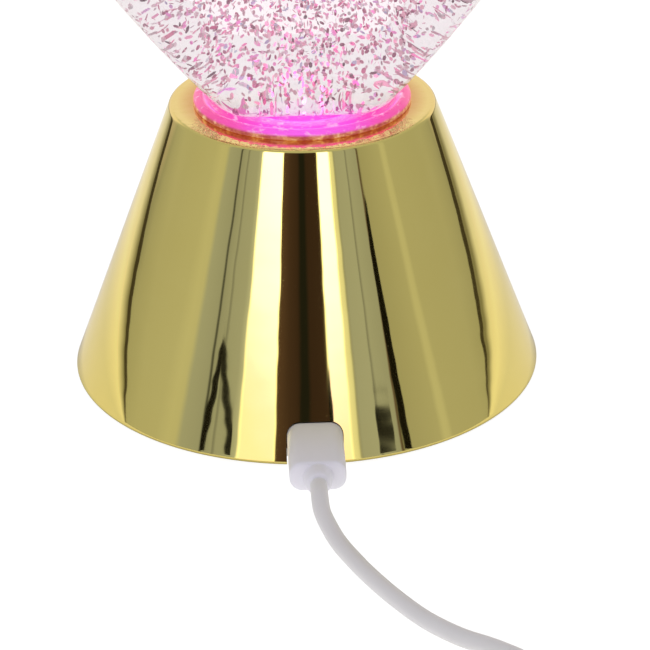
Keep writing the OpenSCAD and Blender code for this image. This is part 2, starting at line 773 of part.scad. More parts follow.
module usb_socket() {
    color([0.72, 0.73, 0.75]) {
        difference() {
            along_y(socket_face, socket_face + socket_len, plug_z)
                round_rect(socket_w, socket_h, socket_h / 2 - 0.01);
            along_y(socket_face - 1, socket_face + socket_len - 0.8, plug_z)
                round_rect(socket_w - 2 * socket_t, socket_h - 2 * socket_t, socket_h / 2 - socket_t - 0.01);
        }
        block(-tongue_w / 2, tongue_w / 2, socket_face + 0.8, socket_face + socket_len - 0.5,
            plug_z - tongue_t / 2, plug_z + tongue_t / 2);
    }
}
module usb_screws() {
    color([0.62, 0.63, 0.64])
        for (x = [-1, 1])
            translate([x * usb_screw_x, usb_screw_y, usb_board_z + usb_board_t])
                mirror([0, 0, 1])
                    screw(small_d, small_head_r, small_head_h, usb_board_t + 3);
}
module switch_body() {
    color([0.7, 0.71, 0.72])
        translate([0, switch_y, plate_top])
            difference() {
                union() {
                    block(-switch_flange_w / 2, switch_flange_w / 2, -switch_d / 2, switch_d / 2, 0,
                        switch_flange_t);
                    block(-switch_w / 2, switch_w / 2, -switch_d / 2, switch_d / 2, 0, switch_h);
                    for (x = [-2.5, 0, 2.5])
                        block(x - 0.4, x + 0.4, -0.2, 0.2, switch_h - 0.5, switch_h + 2);
                }
                block(-slot_w / 2 - 0.9, slot_w / 2 + 0.9, -slot_d / 2 - 0.2, slot_d / 2 + 0.2, switch_flange_t,
                    switch_h - 2);
                block(-slot_w / 2, slot_w / 2, -slot_d / 2, slot_d / 2, -1, switch_flange_t + 1);
                for (x = [-1, 1])
                    translate([x * switch_screw_x, 0, 0])
                        rod(small_d / 2 + fit_gap, -1, switch_flange_t + 1);
            }
}
module switch_slider() {
    color([0.08, 0.08, 0.09])
        translate([-switch_travel / 2, switch_y, 0]) {
            block(-knob_w / 2, knob_w / 2, -knob_d / 2, knob_d / 2, knob_low, plate_top + 1.2);
            block(-knob_w / 2 - 0.8, knob_w / 2 + 0.8, -knob_d / 2 - 0.2, knob_d / 2 + 0.2,
                plate_top + switch_flange_t + 0.05, plate_top + switch_h - 2.2);
        }
}
module switch_screws() {
    color([0.62, 0.63, 0.64])
        for (x = [-1, 1])
            translate([x * switch_screw_x, switch_y, plate_top + switch_flange_t])
                mirror([0, 0, 1])
                    screw(small_d, 1.4, small_head_h, switch_flange_t + 1);
}

// Wires in the base
module wire(p, up) {
    tube(smooth(p, 3), wire_r, 6, up);
}
module supply_wires() {
    y1 = -led_board_r + 1.2;
    color([0.75, 0.1, 0.1])
        for (x = [-4.6, -2.4])
            wire([[x, usb_wire_y, usb_wire_z], [x, usb_wire_y, wire_z], [x, usb_wire_y + 7.5, wire_z + 4],
                [x, y1 - 3, led_z - 12], [x, y1, led_z - 5], [x, y1, led_z - slip_gap]], [1, 0, 0]);
}
module motor_wires() {
    color([0.1, 0.1, 0.1])
        for (s = [-1, 1])
            wire([[5, 3 * s, motor_bottom - 2], [5, 3 * s, motor_bottom - 4],
                [5 + 2.2 * s, -5 + s, motor_bottom - 6.6], [3.4 + s, -motor_r - 2, wire_z + 1],
                [3.4 + s, usb_wire_y + 8.5, wire_z], [3.4 + s, usb_wire_y, wire_z - 1.2],
                [3.4 + s, usb_wire_y, usb_wire_z]], [1, 0, 0.02]);
}
module switch_wires() {
    color([0.1, 0.1, 0.12])
        for (s = [0, 1])
            let (x0 = 2.5 * s - 2.5, x1 = -7.6 - 1.8 * s, up = 1.8 * s)
                wire([[x0, switch_y, plate_top + switch_h + 2 + slip_gap], [x0, switch_y, wire_z + up],
                    wire_round(117, 1 + up), wire_round(153, 1 + up), wire_round(193, 0.6 + up),
                    wire_round(225, up), [x1, usb_wire_y + 4.5, wire_z + up],
                    [x1, usb_wire_y + 0.8, wire_z - 1.2], [x1, usb_wire_y + 0.8, usb_wire_z]], [0.02, 1, 0.03]);
}

// USB lead
module lamp_plug_shell() {
    color([0.75, 0.76, 0.78])
        difference() {
            along_y(plug_face, plug_face + shell_len, plug_z)
                round_rect(shell_w, shell_h, shell_h / 2 - 0.01);
            along_y(plug_face - 1, plug_face + shell_len + 1, plug_z)
                round_rect(shell_w - 2 * shell_t, shell_h - 2 * shell_t, shell_h / 2 - shell_t - 0.01);
        }
}
module lamp_plug_housing() {
    color([0.96, 0.96, 0.95])
        along_y(plug_end, plug_face, plug_z)
            round_rect(plug_w, plug_h, plug_corner_r);
}
module lamp_plug_boot() {
    color([0.96, 0.96, 0.95])
        translate([0, plug_end, plug_z])
            rotate([90, 0, 0])
                cylinder(r1 = boot_r0, r2 = boot_r1, h = boot_len);
}
module cord_lead() {
    color([0.95, 0.95, 0.94])
        tube(lead_points, cord_r, 8, [0, 0, 1]);
}
module cord_coil() {
    echo(str("coil: least gap ", coil_gap, " mm, length ", run_length(coil_points), " mm"));
    echo(str("lead ", run_length(lead_points), " mm, tail ", run_length(tail_points), " mm"));
    color([0.95, 0.95, 0.94])
        tube(coil_points, cord_r, 6, [0, 0, 1]);
}
module cord_tail() {
    color([0.95, 0.95, 0.94])
        tube(tail_points, cord_r, 8, [0, 0, 1]);
}
module cord_tie() {
    tie_in = coil_r - coil_pitch * coil_turns / 2 - cord_r - 1;
    tie_out = coil_r + cord_r - coil_pitch * 0.3;
    tie_high = coil_high + cord_r + 0.3;
    color([0.2, 0.2, 0.22])
        along_y(coil_mid.y - tie_w / 2, coil_mid.y + tie_w / 2, 0)
            translate([coil_mid.x - (tie_in + tie_out) / 2, (tie_high + tie_t) / 2])
                difference() {
                    round_rect(tie_out - tie_in + 2 * tie_t, tie_high + tie_t, 1.6);
                    round_rect(tie_out - tie_in, tie_high - tie_t, 1.1);
                }
}
module charger_plug_boot() {
    color([0.96, 0.96, 0.95])
        translate([tail_end.x - slip_gap, tail_end.y, tail_end.z])
            rotate([0, -90, 0])
                cylinder(r1 = boot_r1, r2 = boot_r0, h = a_boot_len - slip_gap);
}
module charger_plug_housing() {
    color([0.96, 0.96, 0.95])
        along_x(a_plug_x - a_plug_len, a_plug_x, tail_end.y, tail_end.z)
            round_rect(a_plug_w, a_plug_h, a_plug_corner_r);
}
module charger_plug_shell() {
    x1 = a_plug_x - a_plug_len;
    color([0.75, 0.76, 0.78])
        along_x(x1 - a_shell_len, x1, tail_end.y, tail_end.z)
            difference() {
                square([a_shell_w, a_shell_h], center = true);
                square([a_shell_w - 2 * shell_t, a_shell_h - 2 * shell_t], center = true);
            }
}
module charger_plug_tongue() {
    x1 = a_plug_x - a_plug_len;
    color([0.95, 0.95, 0.95])
        along_x(x1 - a_shell_len + 0.6, x1, tail_end.y, tail_end.z)
            translate([0, (a_shell_h - a_tongue_t) / 2 - shell_t - slip_gap])
                square([a_tongue_w, a_tongue_t], center = true);
}

base_cone();
base_plate();
base_screws();
rubber_feet();
light_collar();
heart_front();
heart_rear();
glitter_liquid();
vessel_neck();
neck_nut();
vessel_plug();
plug_seal();
stirrer();
stirrer_magnets();
stirrer_clip();
drive_disc();
drive_magnets();
motor_shaft();
motor_can();
motor_screws();
motor_tower();
tower_screws();
led_board();
leds();
led_screws();
usb_board();
usb_socket();
usb_screws();
switch_body();
switch_slider();
switch_screws();
supply_wires();
motor_wires();
switch_wires();
lamp_plug_shell();
lamp_plug_housing();
lamp_plug_boot();
cord_lead();
cord_coil();
cord_tail();
cord_tie();
charger_plug_boot();
charger_plug_housing();
charger_plug_shell();
charger_plug_tongue();
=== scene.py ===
import math

import bmesh
import bpy
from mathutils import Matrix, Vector


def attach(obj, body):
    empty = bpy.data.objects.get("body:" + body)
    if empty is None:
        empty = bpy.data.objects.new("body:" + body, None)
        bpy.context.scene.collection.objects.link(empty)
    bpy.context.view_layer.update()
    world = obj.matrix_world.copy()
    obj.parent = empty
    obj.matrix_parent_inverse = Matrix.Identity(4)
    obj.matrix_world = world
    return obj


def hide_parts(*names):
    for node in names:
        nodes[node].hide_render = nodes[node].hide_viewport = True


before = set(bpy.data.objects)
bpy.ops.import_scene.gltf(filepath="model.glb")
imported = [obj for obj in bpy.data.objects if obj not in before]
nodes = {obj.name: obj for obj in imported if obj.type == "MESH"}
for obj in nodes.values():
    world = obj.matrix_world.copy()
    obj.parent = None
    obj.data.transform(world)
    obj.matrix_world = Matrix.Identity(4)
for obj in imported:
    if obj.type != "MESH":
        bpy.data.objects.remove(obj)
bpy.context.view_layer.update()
scene = bpy.context.scene
mm = 0.001


# shader maths: a Wire is a value in a node tree that takes Python's operators
class Wire:
    def __init__(self, kit, socket):
        self.kit, self.socket = kit, socket

    def math(self, operation, other=None, flip=False):
        pair = [self] if other is None else ([other, self] if flip else [self, other])
        return self.kit.add("ShaderNodeMath", {"operation": operation}, dict(enumerate(pair)))

    def clamped(self):
        return self.math("MAXIMUM", 0).math("MINIMUM", 1)

    def __add__(self, other): return self.math("ADD", other)
    def __radd__(self, other): return self.math("ADD", other, True)
    def __sub__(self, other): return self.math("SUBTRACT", other)
    def __rsub__(self, other): return self.math("SUBTRACT", other, True)
    def __mul__(self, other): return self.math("MULTIPLY", other)
    def __rmul__(self, other): return self.math("MULTIPLY", other, True)
    def __truediv__(self, other): return self.math("DIVIDE", other)
    def __rtruediv__(self, other): return self.math("DIVIDE", other, True)
    def __pow__(self, other): return self.math("POWER", other)
    def __rpow__(self, other): return self.math("POWER", other, True)
    def __neg__(self): return self.math("MULTIPLY", -1)


class NodeKit:
    def __init__(self, tree):
        self.tree = tree

    # one method for every node: its settings first, then the values or links of its sockets
    def add(self, kind, settings=None, sockets=None, out=0):
        node = self.tree.nodes.new(kind)
        for key, value in (settings or {}).items():
            if key == "stops":
                ramp = node.color_ramp
                while len(ramp.elements) > 1:
                    ramp.elements.remove(ramp.elements[0])
                for i, (spot, colour) in enumerate(value):
                    stop = ramp.elements[0] if i == 0 else ramp.elements.new(spot)
                    stop.position = spot
                    stop.color = (*colour, 1)
            else:
                setattr(node, key, value)
        for key, value in (sockets or {}).items():
            if isinstance(value, Wire):
                self.tree.links.new(value.socket, node.inputs[key])
            else:
                node.inputs[key].default_value = value
        return Wire(self, node.outputs[out]) if node.outputs else None

    # several outputs of one node
    def outs(self, kind, names, sockets=None):
        node = self.add(kind, {}, sockets).socket.node
        return [Wire(self, node.outputs[name]) for name in names]

    def split(self, vector):
        return self.outs("ShaderNodeSeparateXYZ", "XYZ", {0: vector})

    def where(self):
        return self.add("ShaderNodeTexCoord", out="Object")

    def noise(self, scale, detail=2, rough=0.5, stretch=(1, 1, 1)):
        spot = self.add("ShaderNodeMapping", {}, {"Vector": self.where(), "Scale": stretch})
        return self.add("ShaderNodeTexNoise", {},
                        {"Vector": spot, "Scale": scale, "Detail": detail, "Roughness": rough})

    def ramp(self, value, stops):
        return self.add("ShaderNodeValToRGB", {"stops": stops}, {0: value})

    # ramps of grey levels and of hex colours
    def mask(self, value, stops):
        return self.ramp(value, [(spot, (level,) * 3) for spot, level in stops])

    def tones(self, value, stops):
        return self.ramp(value, [(spot, rgb(code)) for spot, code in stops])

    def blend(self, share, a, b, how="MIX"):
        return self.add("ShaderNodeMix", {"data_type": "RGBA", "blend_type": how}, {0: share, 6: a, 7: b}, out=2)

    def bump(self, height, strength, distance):
        return self.add("ShaderNodeBump", {}, {"Strength": strength, "Distance": distance, "Height": height})


def finish(name, make, **fixed):
    mat = bpy.data.materials.new(name)
    mat.use_nodes = True
    tree = mat.node_tree
    tree.nodes.clear()
    kit = NodeKit(tree)
    varied = make(kit)
    sockets = {key.replace("_", " "): value for key, value in fixed.items()}
    sockets.update(varied)
    surface = kit.add("ShaderNodeBsdfPrincipled", {}, sockets)
    kit.add("ShaderNodeOutputMaterial", {}, {"Surface": surface})
    return mat


# hex code to linear light
def rgb(code):
    parts = [int(code[i:i + 2], 16) / 255 for i in (0, 2, 4)]
    return tuple(c / 12.92 if c <= 0.04045 else ((c + 0.055) / 1.055) ** 2.4 for c in parts)


def rgba(code):
    return (*rgb(code), 1)


# camera at the photograph's place
shot = {"place": (-0.01448, -0.51838, 0.26406), "turn": (63.659, 0.765, -2.420),
        "lens": 149.8, "sensor": 36, "clip": (0.02, 20)}
camData = bpy.data.cameras.new("photoCamera")
camData.lens, camData.sensor_width = shot["lens"], shot["sensor"]
camData.clip_start, camData.clip_end = shot["clip"]
camera = bpy.data.objects.new("photoCamera", camData)
camera.location = shot["place"]
camera.rotation_euler = [math.radians(a) for a in shot["turn"]]
scene.collection.objects.link(camera)
scene.camera = camera
print("camera set")


# mesh helpers
def addMesh(name, verts, faces, mats, smooth=True, slots=None):
    mesh = bpy.data.meshes.new(name)
    mesh.from_pydata(verts, [], faces)
    for mat in mats:
        mesh.materials.append(mat)
    for i, poly in enumerate(mesh.polygons):
        poly.use_smooth = smooth
        if slots:
            poly.material_index = slots[i]
    obj = bpy.data.objects.new(name, mesh)
    scene.collection.objects.link(obj)
    return obj


def sharpen(obj, angle):
    mesh = obj.data
    bm = bmesh.new()
    bm.from_mesh(mesh)
    bm.normal_update()
    for edge in bm.edges:
        edge.smooth = len(edge.link_faces) == 2 and math.degrees(edge.calc_face_angle(0)) < angle
    bm.to_mesh(mesh)
    bm.free()


def faceOut(obj):
    bm = bmesh.new()
    bm.from_mesh(obj.data)
    bmesh.ops.recalc_face_normals(bm, faces=bm.faces)
    bm.to_mesh(obj.data)
    bm.free()


def plainMesh(obj):
    graph = bpy.context.evaluated_depsgraph_get()
    graph.update()
    mesh = bpy.data.meshes.new_from_object(obj.evaluated_get(graph), depsgraph=graph)
    obj.modifiers.clear()
    obj.data = mesh
    return obj


def arc(centre, radius, start, stop, count):
    turns = [math.radians(start + (stop - start) * i / count) for i in range(count + 1)]
    return [(centre[0] + radius * math.cos(a), centre[1] + radius * math.sin(a)) for a in turns]


def roundedLoop(width, height, radius, steps):
    loop = []
    for sx, sz, start in ((1, 1, 0), (-1, 1, 90), (-1, -1, 180), (1, -1, 270)):
        centre = (sx * (width / 2 - radius), sz * (height / 2 - radius))
        loop += arc(centre, radius, start, start + 90, steps)
    return loop


# quads between neighbouring rings of n points
def bands(rings, n, closed=False):
    faces = []
    for s in range(rings if closed else rings - 1):
        t = (s + 1) % rings
        for k in range(n):
            m = (k + 1) % n
            faces.append((s * n + k, s * n + m, t * n + m, t * n + k))
    return faces


# rings of n points joined to a tube that is capped at both ends
def tube(name, verts, n, mats):
    rings = len(verts) // n
    caps = [tuple(range(n - 1, -1, -1)), tuple(range((rings - 1) * n, rings * n))]
    obj = addMesh(name, verts, bands(rings, n) + caps, mats)
    faceOut(obj)
    return obj


# closed profile of (radius, height) in mm turned about Z
def lathe(name, profile, mats, turns):
    angles = [2 * math.pi * i / turns for i in range(turns)]
    verts = [(r * mm * math.cos(a), r * mm * math.sin(a), z * mm) for a in angles for r, z in profile]
    faces = [(a, d, c, b) for a, b, c, d in bands(turns, len(profile), closed=True)]
    return addMesh(name, verts, faces, mats)


# rounded rectangles of (place along the axis, width, height, corner) in mm, lofted and capped
def loft(name, sections, place, mats):
    cornerSteps = 8
    verts = [place(at, x, z) for at, width, height, radius in sections
             for x, z in roundedLoop(width, height, radius, cornerSteps)]
    return tube(name, verts, 4 * (cornerSteps + 1), mats)


# finishes: height of the deck, reach of the collar and rim of the deck in metres, for those that change over it
deck = {"high": 0.0592, "collar": 0.0224, "rim": 0.0273}
gold = {"tones": ("f4e283", "f8e88e"), "dust": "b89a58", "paintedCollarGlow": "d0783a",
        "swell": 38, "waver": 110, "dimple": 420, "haze": 55, "speck": 2600, "bump": (0.16, 0.0003)}


# mirror of plated plastic that swells and wavers, with dust on it and a warm ring on the deck round the collar, which
# is a painted reflection of the collar's pink glow
def goldLook(kit):
    x, y, z = kit.split(kit.where())
    wave = kit.noise(gold["swell"], 1) + kit.noise(gold["waver"], 1) * 0.6
    haze = kit.noise(gold["haze"], 4, 0.6)
    specks = kit.mask(kit.noise(gold["speck"], 3, 0.7), [(0.7, 0), (0.76, 1)])
    flat = z.math("GREATER_THAN", deck["high"] - 0.1 * mm)
    near = ((x * x + y * y) ** 0.5 - deck["collar"]) / (deck["rim"] - deck["collar"])
    # warm ring on the deck round the collar: painted reflection of the collar's glow
    paintedCollarGlow = kit.mask(near, [(0.1, 0.5), (0.7, 0)]) * flat
    tint = kit.blend(haze, *(rgba(tone) for tone in gold["tones"]))
    plated = kit.blend(specks * 0.25, tint, rgba(gold["dust"]))
    return {"Base Color": kit.blend(paintedCollarGlow, plated, rgba(gold["paintedCollarGlow"])),
            "Roughness": 0.02 + haze * 0.03 + specks * 0.15 + flat * 0.015,
            "Normal": kit.bump(wave + flat * kit.noise(gold["dimple"], 2) * 1.2, *gold["bump"])}


platedGold = finish("platedGold", goldLook, Metallic=1)

moulded = {"patch": 60, "shade": 0.93, "spread": 0.12, "bump": 0.25}


# moulded plastic of a tone, with the grain of its skin, how deep that is in metres, and its roughness
def mouldedLook(tone, grain=900, depth=0.00006, rough=0.42):
    def make(kit):
        skin = kit.noise(grain, 3, 0.6)
        patch = kit.noise(moulded["patch"], 3)
        dark = tuple(c * moulded["shade"] for c in rgb(tone))
        return {"Base Color": kit.blend(patch, (*dark, 1), rgba(tone)),
                "Roughness": rough - moulded["spread"] / 2 + skin * moulded["spread"],
                "Normal": kit.bump(skin, moulded["bump"], depth)}
    return make


whiteVinyl = finish("whiteVinyl", mouldedLook("efedf2", 1400, 0.00003, 0.34))
# the cord's vinyl is the plugs' vinyl a little darker and warmer: painted shade
shadedCordVinyl = finish("shadedCordVinyl", mouldedLook("eae8e7", 1400, 0.00003, 0.34))
whiteMoulding = finish("whiteMoulding", mouldedLook("ecebe6"))
naturalNylon = finish("naturalNylon", mouldedLook("efeee9", 700))
blackMoulding = finish("blackMoulding", mouldedLook("1b1b1d"))
blackRubber = finish("blackRubber", mouldedLook("1e1e20", 1800, 0.00008, 0.7))
boardGreen = finish("boardGreen", mouldedLook("1b6b3e", 500, 0.00004, 0.35))
boardWhite = finish("boardWhite", mouldedLook("eef0ec", 500, 0.00004, 0.35))
redWire = finish("redWire", mouldedLook("b51f1f", 900, 0.00003, 0.4))
blackWire = finish("blackWire", mouldedLook("222225", 900, 0.00003, 0.4))
ledResin = finish("ledResin", mouldedLook("fff4d8", 900, 0.00002, 0.3))


def steelLook(kit):
    lines = kit.noise(500, 3, 0.6, (1, 1, 14))
    return {"Base Color": kit.blend(lines, rgba("a9abad"), rgba("c9cbcc")), "Roughness": 0.22 + lines * 0.16}


plainSteel = finish("plainSteel", steelLook, Metallic=1)


def clearLook(kit):
    haze = kit.noise(70, 2)
    return {"Roughness": haze * 0.012, "Normal": kit.bump(kit.noise(22, 1), 0.06, 0.0004)}


clearAcrylic = finish("clearAcrylic", clearLook, Base_Color=(1, 1, 1, 1), Transmission_Weight=1, IOR=1.49)
liquidFace = finish("liquidFace", clearLook, Base_Color=rgba("f5edf0"), Transmission_Weight=1, IOR=1.08)

# the rim and ripple colours are painted highlights, the edge tones a painted reflection of the gold
glow = {"body": "8a1a56", "rim": "ffb4e6", "paintedGlint": "ffd2f6", "edgeHigh": 0.002,
        "cloudScale": 170, "paintedGlintScale": 330, "paintedGoldReflectionScale": 560, "dentScale": 260,
        "face": [(0.1, "fb66fa"), (0.4, "fb5aea"), (0.62, "f953b8"), (0.95, "f2568f")],
        "edge": [(0.36, "a2492f"), (0.5, "bd6f45"), (0.6, "dca062"), (0.7, "f2d09a")]}


# magenta in front and pink to the sides, with painted highlights as a pale line near the rim and pale ripples, and a
# brown mottled foot that is a painted reflection of the gold
def collarLook(kit):
    x, y, z = kit.split(kit.where())
    out = (x * x + y * y) ** 0.5 / deck["collar"]
    side = (x / deck["collar"]).math("ABSOLUTE")
    cloud = kit.noise(glow["cloudScale"], 3, 0.6)
    face = kit.tones(side * 0.8 + cloud * 0.2, glow["face"])
    # painted highlight: a pale line near the rim of the bead
    rim = kit.mask(out, [(0.87, 0), (0.9, 0.4), (0.92, 0)])
    # painted highlight: pale ripples of glints
    paintedGlint = kit.mask(kit.noise(glow["paintedGlintScale"], 3, 0.65, (1, 1, 2)), [(0.56, 0), (0.68, 0.75)])
    lit = kit.blend(paintedGlint, kit.blend(rim, face, rgba(glow["rim"])), rgba(glow["paintedGlint"]))
    # painted reflection of the gold: a brown mottled band low on the outer wall
    low = kit.mask((z - deck["high"]) / glow["edgeHigh"], [(0.36, 1), (0.62, 0)])
    edge = low * kit.mask(out, [(0.95, 0), (0.98, 1)])
    paintedGoldReflection = kit.tones(kit.noise(glow["paintedGoldReflectionScale"], 3, 0.7, (1, 1, 1.6)), glow["edge"])
    return {"Base Color": rgba(glow["body"]), "Emission Color": kit.blend(edge, lit, paintedGoldReflection),
            "Roughness": 0.08 + cloud * 0.1, "Normal": kit.bump(kit.noise(glow["dentScale"], 2), 0.25, 0.0005)}


litCollar = finish("litCollar", collarLook, Emission_Strength=0.84, Coat_Weight=0.4, Coat_Roughness=0.06, IOR=1.49)
litNylon = finish("litNylon", collarLook, Emission_Strength=0.8)

foilTones = [(0.0, "836f79"), (0.1, "b0798f"), (0.24, "d197ab"), (0.36, "bfb2b8"), (0.5, "dfabbc"),
             (0.64, "d7cdd2"), (0.78, "ecbccb"), (0.88, "f09cd4"), (0.95, "b6b8d2"), (1.0, "e5e1e6")]


# the flakes also glow with their own colours: painted light for the light that reaches them through the glass
def flakeLook(kit):
    tone = kit.add("ShaderNodeAttribute", {"attribute_name": "flakeTone"}, {}, out="Fac")
    colours = kit.tones(tone, foilTones)
    return {"Base Color": colours, "Emission Color": colours, "Roughness": 0.25 + tone * 0.1}


glitterFoil = finish("glitterFoil", flakeLook, Metallic=0.2, Emission_Strength=0.34)


def strapLook(kit):
    loop = kit.add("ShaderNodeTexVoronoi", {}, {"Vector": kit.where(), "Scale": 2200})
    return {"Base Color": kit.blend(loop, rgba("2c2c30"), rgba("434349")), "Normal": kit.bump(loop, 0.6, 0.0002)}


strapCloth = finish("strapCloth", strapLook, Roughness=0.85)
print("finishes made")

# cord: the lead's route, the coil and the tail, as in the solids. The route is (x, y, height above lying flat)
# and the tail's bend (x, z), in mm
lead = {"diameter": 3.4, "turnGap": 0.5, "turns": 7.25, "outer": 26, "middle": (16, -160), "lift": 0.7,
        "start": (0, -65.69, 5.5), "tailEnd": (-4, -186, 3.9), "length": 1.0, "turnSteps": 36, "runSteps": 4,
        "route": [(0.3, -73.2, 2.4), (1.5, -77.3, 1.2), (3.1, -81.6, 0.3), (5.2, -86.5, 0), (8.2, -93.2, 0),
                  (12.4, -101.1, 0), (17.6, -109.1, 0), (23.3, -115, 0), (29, -119, 0), (34.8, -124.8, 0.1),
                  (39, -134, 0.3), (41.4, -145, 0.6)],
        "bend": [(4.5, 5.2), (1.5, 4.3)]}


def smoothRun(points, count):
    run = [Vector(points[0])]
    for i in range(len(points) - 1):
        a, b = Vector(points[max(i - 1, 0)]), Vector(points[i])
        c, d = Vector(points[i + 1]), Vector(points[min(i + 2, len(points) - 1)])
        for k in range(1, count + 1):
            t = k / count
            run.append(0.5 * (2 * b + (c - a) * t + (2 * a - 5 * b + 4 * c - d) * t ** 2
                              + (3 * b - a - 3 * c + d) * t ** 3))
    return run


def cordRun():
    d, r = lead["diameter"], lead["diameter"] / 2
    pitch, low = d + lead["turnGap"], r + lead["lift"]
    cx, cy = lead["middle"]
    sx, sy, sz = lead["start"]
    ex, ey = cx + lead["outer"], cy + d
    free = [(x, y, r + up) for x, y, up in lead["route"]]
    points = smoothRun([(sx, sy, sz), (sx, sy - d, sz)] + free + [(ex, ey + d, low), (ex, ey, low)], lead["runSteps"])
    for i in range(int(lead["turns"] * lead["turnSteps"]) + 1):
        u = i / lead["turnSteps"]
        turn = math.radians(-360 * u)
        radius = lead["outer"] - pitch * min(u, lead["turns"] - u)
        t = min(1, max(0, (u - lead["turns"] / 2) * 2 + 0.5))            # climbs to the second layer half way
        climb = pitch * t * t * (3 - 2 * t)
        points.append(Vector((cx + radius * math.cos(turn), cy + radius * math.sin(turn), low + climb)))
    tx, ty, tz = lead["tailEnd"]
    high = low + pitch
    bend = [(x, ty, z) for x, z in lead["bend"]]
    tail = [(cx - d, ty, high), (cx - 2 * d, ty, high - 0.1)] + bend + [(tx + d, ty, tz), (tx, ty, tz)]
    return points + smoothRun(tail, lead["runSteps"])


def makeCord():
    points = cordRun()
    data = bpy.data.curves.new("usbCord", "CURVE")
    data.dimensions = "3D"
    data.bevel_depth = lead["diameter"] / 2 * mm
    data.bevel_resolution = 5
    data.use_fill_caps = True
    spline = data.splines.new("POLY")
    spline.points.add(len(points) - 1)
    for point, spot in zip(spline.points, points):
        point.co = (*(spot * mm), 1)
    spline.use_smooth = True
    data.materials.append(shadedCordVinyl)
    cord = bpy.data.objects.new("usbCord", data)
    scene.collection.objects.link(cord)
    print("cord made, %.3f m" % (sum((b - a).length for a, b in zip(points, points[1:])) * mm))
    return cord


usbCord = makeCord()

# gold base: turned shell with the plug's notch cut out of its foot, all in mm
cone = {"foot": 49.5, "deck": 27.3, "height": 59.2, "gap": 0.6, "wall": 2.2, "footEdge": 0.6, "deckEdge": 0.9,
        "hole": 20.2, "turns": 384, "sharp": 25, "rows": (0.006, 0.02, 0.1, 0.3, 0.5, 0.7, 0.9, 0.98, 0.994),
        "deckRow": 0.3, "holeRow": 1}
plug = {"width": 11.1, "height": 6.4, "corner": 2.6, "length": 16.5, "middle": 5.5, "play": 0.15, "boot": 3.1,
        "seat": 0.75, "notchFront": -60, "notchDeep": 6, "notchLow": 1, "ends": (0.5, 0.7), "sharp": 50}
coneSlope = (cone["foot"] - cone["deck"]) / (cone["height"] - cone["gap"])
coneTilt = math.degrees(math.atan(coneSlope))


def coneRadius(z, inner=False):
    wall = cone["wall"] / math.cos(math.radians(coneTilt)) if inner else 0
    return cone["foot"] - (z - cone["gap"]) * coneSlope - wall


plugFace = -(coneRadius(plug["middle"], True) + plug["seat"])
plugEnd = plugFace - plug["length"]


def makeNotch():
    width, height = plug["width"] + 2 * plug["play"], plug["height"] + 2 * plug["play"]
    r, low = plug["corner"] + plug["play"], -plug["middle"] - plug["notchLow"]
    arch = [(-width / 2, low), (width / 2, low)]
    arch += arc((width / 2 - r, height / 2 - r), r, 0, 90, 10) + arc((r - width / 2, height / 2 - r), r, 90, 180, 10)
    spots = [(x * mm, y * mm, (z + plug["middle"]) * mm)
             for y in (plug["notchFront"], plugFace + plug["notchDeep"]) for x, z in arch]
    return tube("notchCutter", spots, len(arch), [platedGold])


def makeBaseCone():
    tilt = math.radians(coneTilt)
    foot, edge, high = cone["footEdge"], cone["deckEdge"], cone["height"]
    footX = cone["foot"] - foot * (1 + math.sin(tilt)) / math.cos(tilt)
    deckX = cone["deck"] - edge * (1 - math.sin(tilt)) / math.cos(tilt)
    low = arc((footX, cone["gap"] + foot), foot, -90, coneTilt, 10)
    top = arc((deckX, high - edge), edge, coneTilt, 90, 12)
    a, b = low[-1], top[0]
    side = [(a[0] + (b[0] - a[0]) * t, a[1] + (b[1] - a[1]) * t) for t in cone["rows"]]
    under = high - cone["wall"]
    hole = cone["hole"]
    rim = [(top[-1][0] - cone["deckRow"], high), (hole + cone["holeRow"], high), (hole, high), (hole, under),
           (coneRadius(under, True), under), (coneRadius(cone["gap"], True), cone["gap"])]
    shell = lathe("baseCone", low + side + top + rim, [platedGold], cone["turns"])
    cutter = makeNotch()
    cut = shell.modifiers.new("notch", "BOOLEAN")
    cut.object, cut.operation, cut.solver = cutter, "DIFFERENCE", "EXACT"
    plainMesh(shell)
    bpy.data.objects.remove(cutter)
    sharpen(shell, cone["sharp"])
    return shell


baseCone = makeBaseCone()
print("base cone made, %d faces" % len(baseCone.data.polygons))

# glowing collar with a bead round its top
collar = {"outer": 22.4, "bead": 2.6, "lip": 0.6, "bore": 15.2, "seat": 17.2, "seatLow": 58.6, "play": 0.2,
          "chamfer": 0.15, "dish": 2.6, "dishIn": 2.2, "turns": 192, "sharp": 40}


def makeCollar():
    z, bead, outer, chamfer = cone["height"], collar["bead"] / 2, collar["outer"], collar["chamfer"]
    under, wall = z - cone["wall"], cone["hole"] - collar["play"]
    edge = [(collar["bore"], under), (wall, under), (wall, z), (outer - chamfer, z), (outer, z + chamfer)]
    crown = arc((outer - bead, z + collar["lip"]), bead, 0, 150, 16)
    dish = arc((outer - collar["bead"] - collar["dishIn"], z + collar["dish"]), collar["dish"], -45, -90, 8)
    seat = [(collar["seat"], z), (collar["seat"], collar["seatLow"]), (collar["bore"], collar["seatLow"])]
    piece = lathe("lightCollar", edge + crown + dish + seat, [litCollar], collar["turns"])
    sharpen(piece, collar["sharp"])
    return piece


lightCollar = makeCollar()

# heart vessel: rings of the outline shrink towards the middle of each face as they leave the seam
heart = {"width": 138, "depth": 62, "wall": 2.5, "flank": 34.6, "root": 32.2, "corner": 10.5, "bow": 280, "lobe": 35,
         "cleft": 4, "bulge": 3.2, "low": 59.5, "rings": 40, "middle": 0.46, "pole": 1.4}


